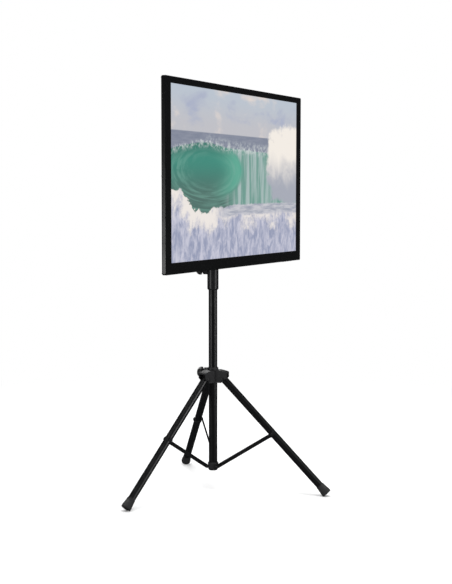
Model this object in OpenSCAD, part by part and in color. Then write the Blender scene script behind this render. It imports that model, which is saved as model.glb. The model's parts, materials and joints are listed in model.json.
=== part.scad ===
// Display stand on a folding tripod: a telescoping mast, three braced legs that fold
// against the mast, a turning and tilting head, and the flat display that it carries.
// Frame: +X along the display's width, the display faces -Y, +Z up. The origin is on the
// floor under the axis of the mast. Millimetres.

/* [Mast] */
// Outer diameter of the mast tube
mast_d = 35; // [32:0.5:40]
// Wall of the mast tube
mast_wall = 1.5; // [1.2:0.1:2]
// Height of the underside of the mast above the floor, with the legs open
mast_gap = 81; // [60:1:110]
// Height of the top end of the mast tube
mast_top = 893; // [820:1:1000]
// Thickness of the bottom collar around the mast tube
foot_collar_t = 4; // [3:0.25:6]
// Height of the bottom collar
foot_collar_h = 32; // [28:1:40]
// Thickness of the top collar around the mast tube
top_collar_t = 5.25; // [4:0.25:8]
// Length of the top collar below the end of the mast tube
top_collar_skirt = 71; // [50:1:90]
// Length of the top collar above the end of the mast tube
top_collar_neck = 44; // [36:1:60]

/* [Telescoping pole] */
// Play all round between the pole and the inside of the mast tube
pole_play = 1; // [0.5:0.25:2]
// Wall of the inner pole
pole_wall = 1.5; // [1.2:0.1:2]
// Height of the bottom end of the pole
pole_bottom = 400; // [360:5:700]

/* [Legs] */
// Direction of the front leg, seen from above
leg_azimuth = -76; // [-90:1:-60]
// Angle between an open leg and the mast
leg_spread = 43.7; // [38:0.1:46]
// Outer diameter of a leg tube
leg_d = 30; // [26:0.5:31]
// Wall of a leg tube
leg_wall = 1.5; // [1.2:0.1:2]
// Length from the hub pivot to the bottom of the rubber foot
leg_reach = 620; // [560:2:700]
// Length from the hub pivot to the brace bolt
brace_reach = 298; // [250:1:330]
// Distance by which a rubber foot spreads beyond its leg tube
foot_spread = 5; // [3:0.5:9]
// Length of a rubber foot
foot_h = 43; // [36:1:55]
// Depth by which a foot is flattened where it meets the floor
foot_flat = 1; // [0.5:0.1:2]

/* [Braces] */
// Width of a brace bar
brace_w = 16; // [12:0.5:18]
// Thickness of a brace bar
brace_t = 2.5; // [2:0.1:3]
// Distance of the lower brace pivots outside the mast tube
brace_pivot_out = 0.5; // [0:0.5:4]
// Height of the lower brace pivot above the underside of the mast
brace_pivot_h = 15; // [12:1:18]
// Diameter of the brace bolts and pins
brace_pin_d = 6; // [5:0.5:7]

/* [Hub] */
// Thickness of the sliding ring around the mast tube
hub_ring_t = 4.5; // [4:0.25:8]
// Thickness of the hub above the legs
hub_roof_t = 14.5; // [13:0.5:20]
// Depth of the arms below the leg pivots
hub_below = 14.5; // [12:0.5:18]
// Extra height of the sliding ring above the arms
hub_ring_extra = 10; // [6:1:16]
// Thickness of a cheek beside a leg
hub_cheek = 4.6; // [4:0.2:6]
// Diameter of a leg pivot bolt
pivot_bolt_d = 8; // [6:0.5:10]

/* [Clamp knobs] */
// Diameter of a clamp knob over its lobes
knob_d = 46; // [38:1:52]
// Length of a clamp knob
knob_h = 28; // [24:0.5:34]
// Number of lobes on a clamp knob
knob_lobes = 5; // [3:1:7]
// Diameter of the boss behind a clamp knob
boss_d = 41; // [36:1:43]
// Diameter of a clamp stud
stud_d = 8; // [6:1:8]
// Distance of the end of the hub's boss outside the mast tube
hub_boss_l = 20.5; // [19:0.5:25]
// Distance of the end of the top collar's boss outside the mast tube
collar_boss_l = 23.5; // [22.5:0.5:28]

/* [Head] */
// Height of the tilt axis
tilt_z = 1273; // [1200:1:1400]
// Distance of the tilt axis in front of the mast axis
tilt_y = 40; // [38:1:50]
// Diameter of the tilt bolt
tilt_bolt_d = 8; // [6:0.5:10]
// Width between the outsides of the yoke cheeks
yoke_w = 60; // [50:1:80]
// Width of the display plate outside its outer holes
plate_edge = 20; // [12:1:30]
// Thickness of the display plate
plate_t = 2; // [1.6:0.1:3]
// Spacing of the four holes that hold the display
vesa = 200; // [200:100:200]

/* [Display] */
// Width of the display
disp_w = 1146; // [1000:2:1200]
// Height of the display
disp_h = 708; // [620:2:740]
// Width of the bezel at each side of the picture
bezel_side = 42; // [30:1:50]
// Width of the bezel above the picture
bezel_top = 24; // [20:1:30]
// Width of the bezel below the picture
bezel_bottom = 42; // [34:1:50]
// Distance of the bezel's face in front of the mast axis
face_y = 124; // [120:1:140]
// Thickness of the display at its edges
edge_t = 17; // [15:0.5:22]
// Thickness of the display at its rear box
box_t = 52; // [48:1:60]
// Distance of the rear box from the edges
box_inset = 72; // [60:1:90]
// Wall of the rear cover
cover_wall = 2.5; // [2:0.1:3]
// Radius of the display's corners
corner_r = 6; // [3:1:12]

/* [Hidden] */
$fn = 64;
run_gap = 0.06;      // radial clearance of a shaft that turns or slides
fix_gap = 0.05;      // radial clearance of pieces that are fixed to each other
side_gap = 0.4;      // clearance between faces that pass each other
seat_gap = 0.3;      // clearance between pieces that stop short of each other

mast_r = mast_d/2;
leg_r = leg_d/2;
pole_r = mast_r - mast_wall - pole_play;
foot_r = leg_r + foot_spread;
foot_collar_r = mast_r + foot_collar_t;
top_collar_r = mast_r + top_collar_t;
hub_ring_r = mast_r + hub_ring_t;
brace_pivot_r = mast_r + brace_pivot_out;
foot_round = 4;      // radius of the rubber foot's lower edge
foot_sole = 12;      // rubber below the end of the leg tube
mast_floor = 4;      // closed bottom of the collar
mast_base = mast_gap + mast_floor;

// The end of a leg above its pivot swings between the sliding ring and the hub's roof.
leg_top = 12;        // tube above the pivot
insert_cap = 2.5;    // plastic cap on the tube's end
leg_swing = norm([leg_top + insert_cap, leg_r]);
channel_r = hub_ring_r + 2;
hub_pivot_r = channel_r + leg_swing + 0.15;

// The open legs put the flattened soles on the floor.
pivot_z = (leg_reach - foot_round)*cos(leg_spread) + (foot_r - foot_round)*sin(leg_spread)
          + foot_round - foot_flat;
joint_r = hub_pivot_r + brace_reach*sin(leg_spread);
joint_z = pivot_z - brace_reach*cos(leg_spread);
brace_z = mast_gap + brace_pivot_h;
brace_len = norm([joint_r - brace_pivot_r, joint_z - brace_z]);
brace_rise = atan2(joint_z - brace_z, joint_r - brace_pivot_r);
// Folded, the legs hang straight down and the braces stand nearly upright.
fold_reach = sqrt(brace_len*brace_len - pow(hub_pivot_r - brace_pivot_r, 2));
fold_travel = brace_z + fold_reach + brace_reach - pivot_z;
fold_turn = acos((hub_pivot_r - brace_pivot_r)/brace_len) - brace_rise;
echo(pivot_z = pivot_z, joint_r = joint_r, joint_z = joint_z, brace_z = brace_z);
echo(brace_len = brace_len, brace_rise = brace_rise, fold_travel = fold_travel, fold_turn = fold_turn);

saddle_t = 2.2;                                   // sheet of the bracket around a leg
saddle_r = leg_r + fix_gap + saddle_t;
saddle_l = 16;                                    // length of the bracket along the leg
brace_in = max(mast_r + 0.2, saddle_r + 0.5);     // inner face of a brace bar
brace_out = brace_in + brace_t;
brace_head = 3;                                   // height of the brace rivet and pin heads
pin_root = mast_r - 8;                            // inner end of a brace pin
rim = 1.5;                                        // chamfer on the rims of collars, hub and socket

hub_arm_past = leg_r + 2.5;                       // arm beyond the leg pivot
hub_arm_r = hub_pivot_r + hub_arm_past;
channel_w = leg_d + 2*side_gap;
channel_top = pivot_z + leg_swing + 1;
hub_w = channel_w + 2*hub_cheek;
hub_top = channel_top + hub_roof_t;
hub_ring_top = hub_top + hub_ring_extra;
hub_bottom = pivot_z - hub_below;
hub_knob_z = hub_ring_top - rim - seat_gap - boss_d/2;
hub_boss_r = mast_r + hub_boss_l;
collar_boss_r = mast_r + collar_boss_l;
hub_corner_slope = 0.89;                           // slope of the corner cut below a leg
knob_azimuth = leg_azimuth + 180;
pad_t = 3;                                        // thickness of a clamp pad
pad_d = 10;
nut_af = 13;                                      // across the flats of an M8 nut
nut_h = 6.5;

collar_bottom = mast_top - top_collar_skirt;
collar_top = mast_top + top_collar_neck;
collar_knob_z = mast_top + 12;
collar_bore = pole_r + run_gap;

socket_wall = 4;
socket_r = pole_r + run_gap + socket_wall;
socket_top = tilt_z + 27;
socket_bottom = tilt_z - 68;
pole_top = socket_top - socket_wall - seat_gap;
head_knob_z = socket_bottom + 24;
head_boss_r = socket_r + 11;
head_knob_d = 36;
head_knob_h = 22;
cheek_t = 4;
yoke_h = 50;
yoke_plate_t = 5;
ear_t = 3;
bracket_h = 90;

plate_w = vesa + 2*plate_edge;
pic_w = disp_w - 2*bezel_side;
pic_h = disp_h - bezel_top - bezel_bottom;
pic_z = tilt_z + (bezel_bottom - bezel_top)/2;
lip_t = 2.2;
edge_y = face_y - edge_t;
split_y = edge_y + 5;                             // plane where the bezel meets the rear cover
box_y = face_y - box_t;
plate_y = box_y - 2;                              // front face of the display plate
lcd_t = 1.8;
guide_t = 2.5;
panel_gap = 0.3;
panel_y = face_y - lip_t - panel_gap;             // front of the picture
guide_y = panel_y - lcd_t - 0.1;
tray_front = guide_y - guide_t - 0.1;
tray_t = 1;
tray_floor = tray_front - 7;                      // front of the tray's floor
panel_over = 6;                                   // panel hidden behind the bezel's lip
tray_over = 9;
plate_screw_d = 6;
vesa_boss_d = plate_screw_d + 10;
cover_screw_d = 3;
screw_inset = 7;                                  // distance of the cover's screws from its edges
box_half_w = disp_w/2 - box_inset;                // the rear box, from its middle to its sides
box_bottom = tilt_z - disp_h/2 + box_inset;
board_x = vesa/2 + vesa_boss_d/2 + 27;            // inner edges of the boards, clear of the bosses
main_w = 230;
power_w = 250;
jack_x = board_x + main_w/2;
jack_z = box_bottom + 152;
jack_w = 190;
jack_h = 26;
jack_pitch = 24;
inlet_x = -board_x - power_w/2 - 20;
inlet_w = 27.4;
inlet_h = 19.8;
slot_pitch = 27;
slots = floor((box_half_w - 60)/slot_pitch);      // slots at each side of the middle one
key_w = 11;
key_d = 5;
key_pitch = 24;
key_x = disp_w/2 - 150;
key_travel = 1.2;
key_proud = 1.2;
key_wall = 3;
key_board_h = 7;                                  // height of the key board above the bezel's wall
bottom_z = tilt_z - disp_h/2;

module around(angle) { rotate([0, 0, angle]) children(); }
module at_leg(k) { around(leg_azimuth + 120*(k - 1)) children(); }
// Along a leg: the pivot is at z = 0 and the leg runs down -Z.
module leg_frame(k) {
    at_leg(k) translate([hub_pivot_r, 0, pivot_z]) rotate([0, -leg_spread, 0]) children();
}
// Along a brace: the lower pivot is at x = 0 and the bar runs along +X.
module brace_frame(k) {
    at_leg(k) translate([brace_pivot_r, 0, brace_z]) rotate([0, -brace_rise, 0]) children();
}
// Along a clamp screw: +Z points away from the mast.
module clamp_frame(z) {
    around(knob_azimuth) translate([0, 0, z]) rotate([0, 90, 0]) children();
}
// A drawing in X and Z, made into a plate from y = -front back to y = -back.
module plate_y(front, back) {
    translate([0, -back, 0]) rotate([90, 0, 0]) linear_extrude(front - back) children();
}
// A round bar along Y from y = -front to y = -back.
module bar_y(front, back, d) {
    translate([0, -back, 0]) rotate([90, 0, 0]) cylinder(h = front - back, d = d);
}
// A round bar along X.
module bar_x(from, to, d) {
    translate([from, 0, 0]) rotate([0, 90, 0]) cylinder(h = to - from, d = d);
}
// A round bar along Z with a chamfer at its top.
module eased_bar(bottom, top, r, ease) {
    rotate_extrude() polygon([[0, bottom], [r, bottom], [r, top - ease], [r - ease, top], [0, top]]);
}
module tube(bottom, top, outer, inner) {
    difference() {
        translate([0, 0, bottom]) cylinder(h = top - bottom, r = outer);
        translate([0, 0, bottom - 1]) cylinder(h = top - bottom + 2, r = inner);
    }
}
module rounded(w, h, r) {
    union() {
        square([w - 2*r, h], center = true);
        square([w, h - 2*r], center = true);
        for (x = [-1, 1], y = [-1, 1]) translate([x*(w/2 - r), y*(h/2 - r)]) circle(r = r);
    }
}
module bar_outline(length, w) {
    union() {
        translate([0, -w/2]) square([length, w]);
        circle(d = w);
        translate([length, 0]) circle(d = w);
    }
}
function knob_bore(h) = 0.6*h;
// A lobed knob on a round neck, bored for its stud or bolt.
module knob(d, h, bore_d, bore_h) {
    lobe = 0.155*d;
    neck = 0.17*h;
    difference() {
        union() {
            cylinder(h = neck + 1, d = 0.4*d);
            intersection() {
                translate([0, 0, neck]) linear_extrude(h - neck) union() {
                    circle(d = 0.82*d);
                    for (i = [0:knob_lobes - 1])
                        rotate(i*360/knob_lobes + 90) translate([d/2 - lobe, 0]) circle(r = lobe);
                }
                sphere(r = h, $fn = 96);
            }
        }
        translate([0, 0, -1]) cylinder(h = bore_h + 1, d = bore_d);
    }
}
module stud(from, to) { translate([0, 0, from]) cylinder(h = to - from, d = stud_d); }
// The holes for a clamp screw, its nut and its pad, from the inside of a boss of reach r.
module clamp_holes(inner, r) {
    translate([0, 0, inner - pad_t]) cylinder(h = pad_t + nut_start(inner) - inner, d = pad_d + 2*fix_gap);
    translate([0, 0, nut_start(inner) - 0.01])
        cylinder(h = nut_h + 2*fix_gap, d = (nut_af + 2*fix_gap)/cos(30), $fn = 6);
    translate([0, 0, inner]) cylinder(h = r, d = stud_d + 2*seat_gap);
}
function nut_start(inner) = inner + pad_t + 4;
module clamp_nut(inner) {
    translate([0, 0, nut_start(inner)]) difference() {
        cylinder(h = nut_h, d = nut_af/cos(30), $fn = 6);
        translate([0, 0, -1]) cylinder(h = nut_h + 2, d = stud_d + 2*run_gap);
    }
}
module clamp_pad(inner) { translate([0, 0, inner]) cylinder(h = pad_t, d = pad_d); }
// The tip of a clamp screw rests against its pad.
function stud_tip(inner) = inner + pad_t + 0.1;

module mast_tube() {
    color("#151517") tube(mast_base, mast_top, mast_r, mast_r - mast_wall);
}
module bottom_collar() {
    color("#1d1d1f") difference() {
        union() {
            rotate_extrude() polygon([
                [0, mast_gap], [foot_collar_r - 4.5, mast_gap], [foot_collar_r, mast_gap + 9],
                [foot_collar_r, mast_gap + foot_collar_h - rim],
                [foot_collar_r - rim, mast_gap + foot_collar_h], [0, mast_gap + foot_collar_h]]);
            for (k = [1:3]) at_leg(k) translate([brace_pivot_r, 0, brace_z])
                bar_y(brace_in - seat_gap, mast_r - 10, brace_w - 2);
        }
        translate([0, 0, mast_base]) cylinder(h = foot_collar_h, r = mast_r + fix_gap);
        for (k = [1:3]) at_leg(k) {
            translate([brace_pivot_r - brace_w/2 - 1, -brace_in + seat_gap - 20, mast_gap - 1])
                cube([brace_w + 20, 20, foot_collar_h + 2]);
            translate([brace_pivot_r, 0, brace_z]) bar_y(brace_out, pin_root, brace_pin_d + 2*fix_gap);
        }
    }
}
module brace_pins() {
    color("#3a3a3c") for (k = [1:3]) at_leg(k) translate([brace_pivot_r, 0, brace_z]) {
        bar_y(brace_out + seat_gap + 0.01, pin_root, brace_pin_d);
        bar_y(brace_out + seat_gap + brace_head, brace_out + seat_gap, 2*brace_pin_d);
    }
}
module top_collar() {
    color("#2a2a2c") difference() {
        union() {
            rotate_extrude() polygon([
                [0, collar_bottom], [mast_r + rim, collar_bottom], [top_collar_r, collar_bottom + 5],
                [top_collar_r, collar_top - 2], [top_collar_r - 2, collar_top], [0, collar_top]]);
            clamp_frame(collar_knob_z) clamp_boss(collar_boss_r);
        }
        translate([0, 0, collar_bottom - 1]) cylinder(h = top_collar_skirt + 1, r = mast_r + fix_gap);
        translate([0, 0, collar_bottom]) cylinder(h = collar_top - collar_bottom + 1, r = collar_bore);
        clamp_frame(collar_knob_z) clamp_holes(collar_bore + seat_gap, collar_boss_r);
    }
}
module top_collar_nut() { color("#8a8a8c") clamp_frame(collar_knob_z) clamp_nut(collar_bore + seat_gap); }
module top_collar_pad() { color("#1a1a1a") clamp_frame(collar_knob_z) clamp_pad(collar_bore + seat_gap); }
top_knob_start = collar_boss_r + 2;
// A clamp knob on its stud, which starts at a distance from the mast axis.
module clamp_knob(start, d, h) {
    color("#1c1c1e") translate([0, 0, start]) knob(d, h, stud_d + 2*fix_gap, knob_bore(h));
}
module top_knob() { clamp_frame(collar_knob_z) clamp_knob(top_knob_start, knob_d, knob_h); }
module top_stud() {
    color("#8a8a8c") clamp_frame(collar_knob_z)
        stud(stud_tip(collar_bore + seat_gap), top_knob_start + knob_bore(knob_h) - seat_gap);
}

// The hub seen from above: three arms that meet in sharp inner corners.
module hub_star() {
    arm = [[hub_arm_r, -hub_w/2], [hub_arm_r, hub_w/2], [hub_w/2/tan(60), hub_w/2]];
    polygon([for (k = [0:2], p = arm)
        [p[0]*cos(120*k) - p[1]*sin(120*k), p[0]*sin(120*k) + p[1]*cos(120*k)]]);
}
// What is cut off an arm in X and Z: the sloping top and the corner below the leg.
module arm_top_cut() {
    polygon([
        [hub_pivot_r - 15, hub_top], [hub_arm_r - 4.5, hub_top - 6.5], [hub_arm_r + 4.5, hub_top - 13.5],
        [hub_arm_r + 4.5, hub_top + 5], [hub_pivot_r - 15, hub_top + 5]]);
}
module arm_bottom_cut() {
    polygon([
        [hub_pivot_r - 6 - 5/hub_corner_slope, hub_bottom - 5],
        [hub_arm_r + 5, hub_bottom + (hub_arm_past + 11)*hub_corner_slope],
        [hub_arm_r + 5, hub_bottom - 5]]);
}
module clamp_boss(reach) {
    rotate([0, 0, 20]) eased_bar(mast_r + 0.5, reach, boss_d/2, 3);
}
module leg_hub() {
    color("#222226") difference() {
        union() {
            difference() {
                translate([0, 0, hub_bottom]) around(leg_azimuth)
                    linear_extrude(hub_top - hub_bottom) hub_star();
                for (k = [1:3]) at_leg(k) {
                    plate_y(hub_w/2 + 1, -hub_w/2 - 1) arm_top_cut();
                    plate_y(hub_w/2 + 1, -hub_w/2 - 1) arm_bottom_cut();
                }
            }
            eased_bar(hub_bottom + 5, hub_ring_top, hub_ring_r, rim);
            clamp_frame(hub_knob_z) clamp_boss(hub_boss_r);
        }
        translate([0, 0, hub_bottom - 1]) cylinder(h = hub_ring_top - hub_bottom + 2, r = mast_r + run_gap);
        for (k = [1:3]) at_leg(k) {
            // The channel that the leg swings in, with a roof and an open end.
            translate([channel_r, -channel_w/2, hub_bottom - 1])
                cube([hub_arm_r + 5 - channel_r, channel_w, channel_top - hub_bottom + 1]);
            translate([hub_pivot_r, 0, pivot_z]) bar_y(hub_w, -hub_w, pivot_bolt_d + 2*fix_gap);
        }
        clamp_frame(hub_knob_z) clamp_holes(mast_r + run_gap + seat_gap, hub_boss_r);
    }
}
module leg_pivot_bolts() {
    lock_nut_h = 4;
    color("#3a3a3c") for (k = [1:3]) at_leg(k) translate([hub_pivot_r, 0, pivot_z]) {
        bar_y(hub_w/2 + lock_nut_h + 0.5, -hub_w/2 - 0.01, pivot_bolt_d);
        bar_y(-hub_w/2, -hub_w/2 - 3.5, pivot_bolt_d + 6);
        difference() {
            translate([0, -hub_w/2, 0]) rotate([90, 0, 0])
                cylinder(h = lock_nut_h, d = (pivot_bolt_d + 5)/cos(30), $fn = 6);
            bar_y(hub_w, 0, pivot_bolt_d + 2*fix_gap);
        }
    }
}
module hub_nut() { color("#8a8a8c") clamp_frame(hub_knob_z) clamp_nut(mast_r + run_gap + seat_gap); }
module hub_pad() { color("#1a1a1a") clamp_frame(hub_knob_z) clamp_pad(mast_r + run_gap + seat_gap); }
hub_knob_start = hub_boss_r + 0.5;
module hub_knob() { clamp_frame(hub_knob_z) clamp_knob(hub_knob_start, knob_d, knob_h); }
module hub_stud() {
    color("#8a8a8c") clamp_frame(hub_knob_z)
        stud(stud_tip(mast_r + run_gap + seat_gap), hub_knob_start + knob_bore(knob_h) - seat_gap);
}

tube_end = leg_reach - foot_sole;
module leg_tube(k) {
    color("#151517") leg_frame(k) difference() {
        tube(-tube_end, leg_top, leg_r, leg_r - leg_wall);
        bar_y(leg_d, -leg_d, pivot_bolt_d + 2*run_gap);
        translate([0, 0, -brace_reach]) bar_y(leg_d, -leg_d, brace_pin_d + 2*fix_gap);
    }
}
module leg_insert(k) {
    depth = 18;
    color("#1a1a1a") leg_frame(k) difference() {
        union() {
            translate([0, 0, -depth]) cylinder(h = depth + leg_top, r = leg_r - leg_wall - fix_gap);
            translate([0, 0, leg_top]) cylinder(h = insert_cap, r1 = leg_r, r2 = leg_r - 2);
        }
        bar_y(leg_d, -leg_d, pivot_bolt_d + 2*run_gap);
    }
}
module rubber_foot(k) {
    color("#242426") difference() {
        leg_frame(k) rotate_extrude() difference() {
            union() {
                translate([0, -leg_reach]) polygon([
                    [0, 0], [foot_r - foot_round, 0], [foot_r, foot_round], [foot_r, 0.26*foot_h],
                    [leg_r + 3, 0.6*foot_h], [leg_r + 1.6, foot_h - 1], [leg_r + 0.8, foot_h],
                    [0, foot_h]]);
                translate([foot_r - foot_round, -leg_reach + foot_round]) circle(r = foot_round);
            }
            translate([0, -tube_end]) square([leg_r + fix_gap, foot_h]);
        }
        translate([-1000, -1000, -100]) cube([2000, 2000, 100]);
    }
}
module brace_saddle(k) {
    color("#1b1b1d") leg_frame(k) translate([0, 0, -brace_reach]) {
        difference() {
            translate([0, 0, -saddle_l/2]) linear_extrude(saddle_l) difference() {
                union() {
                    circle(r = saddle_r);
                    translate([0, -saddle_r]) square([saddle_l/2, 2*saddle_r]);
                }
                circle(r = leg_r + fix_gap);
                translate([0, -leg_r - fix_gap]) square([saddle_r + 1, leg_d + 2*fix_gap]);
            }
            bar_y(leg_d, -leg_d, brace_pin_d + 2*fix_gap);
        }
        bar_y(brace_in - seat_gap, -saddle_r - 0.01, brace_pin_d);
        bar_y(-saddle_r, -saddle_r - brace_head, 2*brace_pin_d);
    }
}
module brace(k) {
    color("#1b1b1d") brace_frame(k) plate_y(brace_out, brace_in) difference() {
        bar_outline(brace_len, brace_w);
        circle(d = brace_pin_d + 2*run_gap);
        translate([brace_len, 0]) circle(d = brace_pin_d + 2*fix_gap);
    }
}
module brace_rivet(k) {
    color("#3a3a3c") brace_frame(k) translate([brace_len, 0, 0]) {
        bar_y(brace_out + 0.01, brace_in, brace_pin_d);
        bar_y(brace_out + brace_head, brace_out, 2*brace_pin_d);
    }
}

module lift_pole() { color("#151517") tube(pole_bottom, pole_top, pole_r, pole_r - pole_wall); }
module pole_bush() {
    color("#1a1a1a") {
        translate([0, 0, pole_bottom - 5]) cylinder(h = 5, r = mast_r - mast_wall - run_gap);
        translate([0, 0, pole_bottom - 0.01]) cylinder(h = 26, r = pole_r - pole_wall - fix_gap);
    }
}
module head_frame() { translate([0, 0, head_knob_z]) rotate([-90, 0, 0]) children(); }
module head_socket() {
    color("#1d1d1f") difference() {
        union() {
            eased_bar(socket_bottom, socket_top, socket_r, rim);
            translate([-yoke_w/2, -socket_r - yoke_plate_t + 1.5, tilt_z - yoke_h/2])
                cube([yoke_w, yoke_plate_t, yoke_h]);
            for (x = [-yoke_w/2, yoke_w/2 - cheek_t]) translate([x, 0, tilt_z]) yoke_cheek();
            head_frame() cylinder(h = head_boss_r, d = 3*stud_d);
        }
        translate([0, 0, socket_bottom - 1])
            cylinder(h = pole_top + seat_gap - socket_bottom + 1, r = pole_r + run_gap);
        translate([0, -tilt_y, tilt_z]) bar_x(-yoke_w, yoke_w, tilt_bolt_d + 2*fix_gap);
        head_frame() cylinder(h = head_boss_r + 1, d = stud_d + 2*run_gap);
    }
}
yoke_r = tilt_bolt_d/2 + 9;
module yoke_cheek() {
    rotate([90, 0, 90]) linear_extrude(cheek_t) union() {
        translate([-tilt_y, 0]) circle(r = yoke_r);
        polygon([[-tilt_y, yoke_r], [-socket_r, yoke_h/2], [-socket_r, -yoke_h/2], [-tilt_y, -yoke_r]]);
    }
}
bolt_head_x = yoke_w/2 + side_gap + ear_t + side_gap;
tilt_knob_x = bolt_head_x + 1;
tilt_bore = knob_bore(head_knob_h) + 1.3;
module tilt_bolt() {
    color("#3a3a3c") translate([0, -tilt_y, tilt_z]) {
        bar_x(-bolt_head_x - 0.01, tilt_knob_x + tilt_bore - 0.5, tilt_bolt_d);
        bar_x(-bolt_head_x - 5, -bolt_head_x, tilt_bolt_d + 6);
    }
}
module tilt_knob() {
    color("#1c1c1e") translate([tilt_knob_x, -tilt_y, tilt_z]) rotate([0, 90, 0])
        knob(head_knob_d, head_knob_h, tilt_bolt_d + 2*run_gap, tilt_bore);
}
head_knob_start = head_boss_r + 1.5;
module head_knob() { head_frame() clamp_knob(head_knob_start, head_knob_d, head_knob_h); }
module head_stud() {
    color("#8a8a8c") head_frame()
        stud(pole_r + seat_gap, head_knob_start + knob_bore(head_knob_h) - seat_gap);
}

module tilt_bracket() {
    ear_x = yoke_w/2 + side_gap;
    ear_r = yoke_r + 1;
    color("#1d1d1f") difference() {
        union() {
            translate([0, 0, tilt_z]) plate_y(plate_y - plate_t, plate_y - plate_t - ear_t)
                square([2*ear_x + 2*ear_t, bracket_h], center = true);
            for (x = [-ear_x - ear_t, ear_x]) translate([x, 0, tilt_z]) rotate([90, 0, 90])
                linear_extrude(ear_t) union() {
                    translate([-tilt_y, 0]) circle(r = ear_r);
                    polygon([[-tilt_y, ear_r], [-plate_y + plate_t + 1, bracket_h/2],
                        [-plate_y + plate_t + 1, -bracket_h/2], [-tilt_y, -ear_r]]);
                }
        }
        translate([0, -tilt_y, tilt_z]) bar_x(-yoke_w, yoke_w, tilt_bolt_d + 2*run_gap);
    }
}
module square_holes(pitch, d) {
    for (x = [-1, 1], z = [-1, 1]) translate([x*pitch/2, z*pitch/2]) circle(d = d);
}
module display_plate() {
    color("#1b1b1d") translate([0, 0, tilt_z]) plate_y(plate_y, plate_y - plate_t) difference() {
        rounded(plate_w, plate_w, 12);
        square_holes(vesa, plate_screw_d + 2*seat_gap);
        square_holes(100, 5.5);
        square_holes(75, 5.5);
        for (s = [-1, 1]) {
            translate([s*(plate_w/4 + 16), 0]) rounded(30, plate_w/2 - 10, 8);
            translate([0, s*(plate_w/4 + 24)]) rounded(plate_w/2 - 30, 22, 8);
        }
    }
}
module at_vesa() {
    for (x = [-1, 1], z = [-1, 1]) translate([x*vesa/2, 0, tilt_z + z*vesa/2]) children();
}
module plate_screws() {
    color("#3a3a3c") at_vesa() {
        bar_y(plate_y + 14, plate_y - plate_t - 0.01, plate_screw_d);
        difference() {
            bar_y(plate_y - plate_t, plate_y - plate_t - 4, plate_screw_d + 5);
            translate([0, -plate_y + plate_t + 2, 0]) rotate([-90, 0, 0]) cylinder(h = 3, d = 5, $fn = 6);
        }
    }
}

module front_bezel() {
    color("#0d0d0e") difference() {
        translate([0, 0, tilt_z]) plate_y(face_y, split_y) rounded(disp_w, disp_h, corner_r);
        translate([0, 0, pic_z]) plate_y(face_y + 1, split_y - 1) square([pic_w, pic_h], center = true);
        translate([0, 0, pic_z]) plate_y(face_y - lip_t, split_y - 1)
            square([pic_w + 2*tray_over + 2, pic_h + 2*tray_over + 2], center = true);
        // The pocket for the keys and their board, with a hole below each key.
        translate([key_x - key_pitch, 0, bottom_z + key_wall]) plate_y(face_y - 2.5, split_y - 1)
            square([4*key_pitch, 14]);
        for (i = [0:3]) translate([key_x + (i - 0.5)*key_pitch, 0, bottom_z - 1])
            translate([-key_w/2 - side_gap, -key_y - key_d/2 - side_gap, 0])
                cube([key_w + 2*side_gap, key_d + 2*side_gap, key_wall + 2]);
        at_cover_screws() bar_y(face_y - 3, split_y - 1, cover_screw_d + 2*fix_gap);
    }
}
module lcd_panel() {
    color("#8fb7bd") translate([0, 0, pic_z]) plate_y(panel_y, panel_y - lcd_t)
        square([pic_w + 2*panel_over, pic_h + 2*panel_over], center = true);
}
module light_guide() {
    color("#e9eef0") translate([0, 0, pic_z]) plate_y(guide_y, guide_y - guide_t)
        square([pic_w + 2*panel_over, pic_h + 2*panel_over], center = true);
}
module led_bars() {
    color("#f2f2ea") for (i = [-1.5:1:1.5]) translate([0, 0, pic_z + i*pic_h/4]) {
        plate_y(tray_floor + 1.2, tray_floor) square([pic_w - 40, 10], center = true);
        for (x = [-pic_w/2 + 60:(pic_w - 120)/11:pic_w/2 - 59]) translate([x, 0, 0])
            plate_y(tray_floor + 2.2, tray_floor + 1.2) square([5, 5], center = true);
    }
}
module backlight_tray() {
    color("#9a9c9e") difference() {
        union() {
            difference() {
                translate([0, 0, pic_z]) plate_y(tray_front, tray_floor - tray_t)
                    square([pic_w + 2*tray_over, pic_h + 2*tray_over], center = true);
                translate([0, 0, pic_z]) plate_y(tray_front + 1, tray_floor)
                    square([pic_w + 2*tray_over - 2*tray_t, pic_h + 2*tray_over - 2*tray_t], center = true);
            }
            at_vesa() bar_y(tray_floor - tray_t + 0.01, plate_y, vesa_boss_d);
        }
        at_vesa() bar_y(plate_y + 16, plate_y - 1, plate_screw_d + 2*fix_gap);
    }
}
// A slab of the display's outline, drawn in by inset, from y = -front to y = -back.
module slab(front, back, inset) {
    translate([0, 0, tilt_z]) plate_y(front, back)
        rounded(disp_w - 2*inset, disp_h - 2*inset, max(corner_r - inset, 2), $fn = 32);
}
module cover_form(wall) {
    edge = edge_y + wall;
    union() {
        hull() {
            slab(split_y + (wall > 0 ? 1 : 0), edge + 3, wall);
            slab(edge + 3, edge, wall + 3);
        }
        hull() {
            slab(edge + 0.5, edge, 10 + wall);
            slab(box_y + wall + 0.5, box_y + wall, box_inset + wall);
        }
    }
}
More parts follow.
